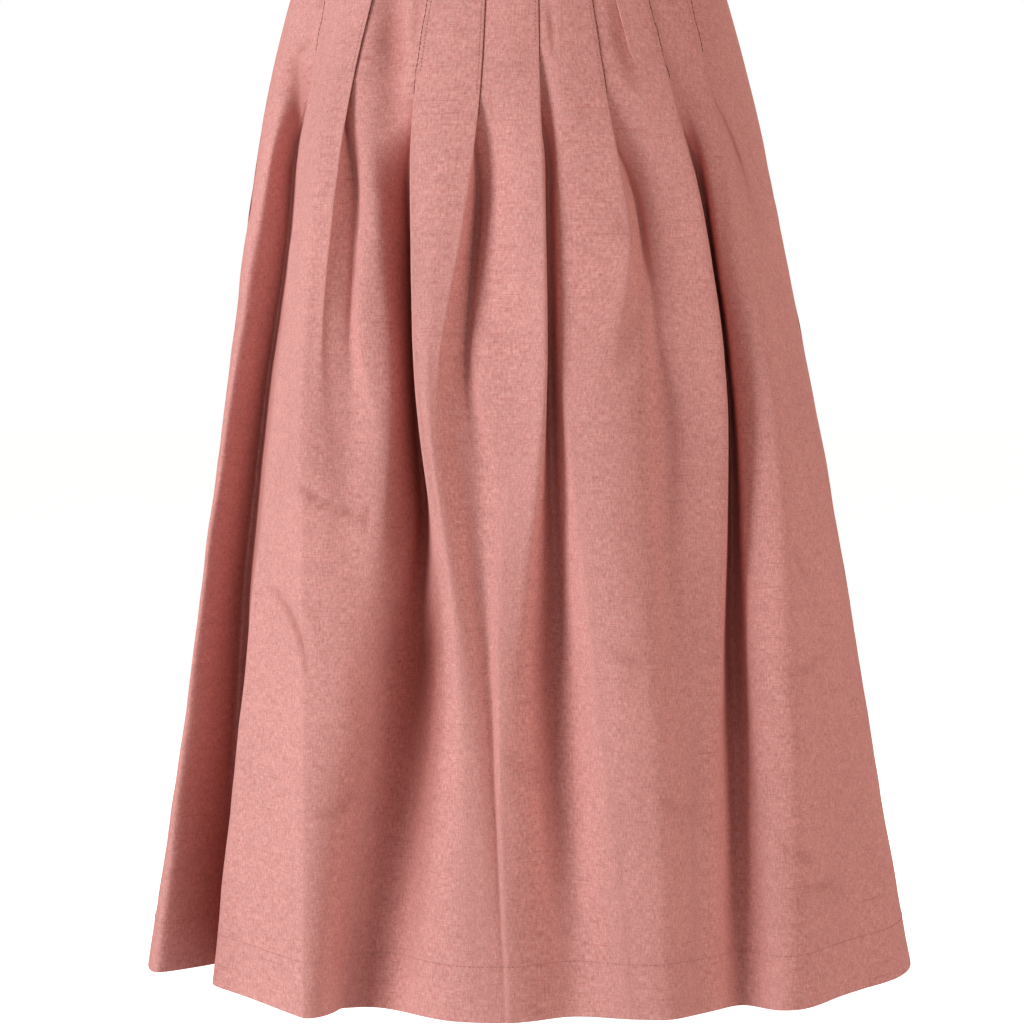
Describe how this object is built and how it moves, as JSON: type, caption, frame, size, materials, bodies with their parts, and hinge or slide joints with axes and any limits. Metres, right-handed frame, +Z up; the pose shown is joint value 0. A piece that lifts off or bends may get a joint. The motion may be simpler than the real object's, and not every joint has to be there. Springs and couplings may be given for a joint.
{
  "type": "pleated midi skirt",
  "caption": "Linen midi skirt with a plain waistband and stitched-down pleats that open into soft folds, filled out as if worn.",
  "frame": {"origin": "middle of the waist, level with the waistband's top edge", "axes": "+Z up, along the skirt's length; -Y to the skirt's front; +X to the wearer's left"},
  "size_m": [0.572, 0.4536, 0.7874],
  "materials": {
    "cloth": "matte plain-weave linen",
    "button": "satin"
  },
  "bodies": {
    "root": {"front_panel": "cloth", "back_panel": "cloth", "waistband": "cloth", "button": "button"}
  },
  "joints": []
}
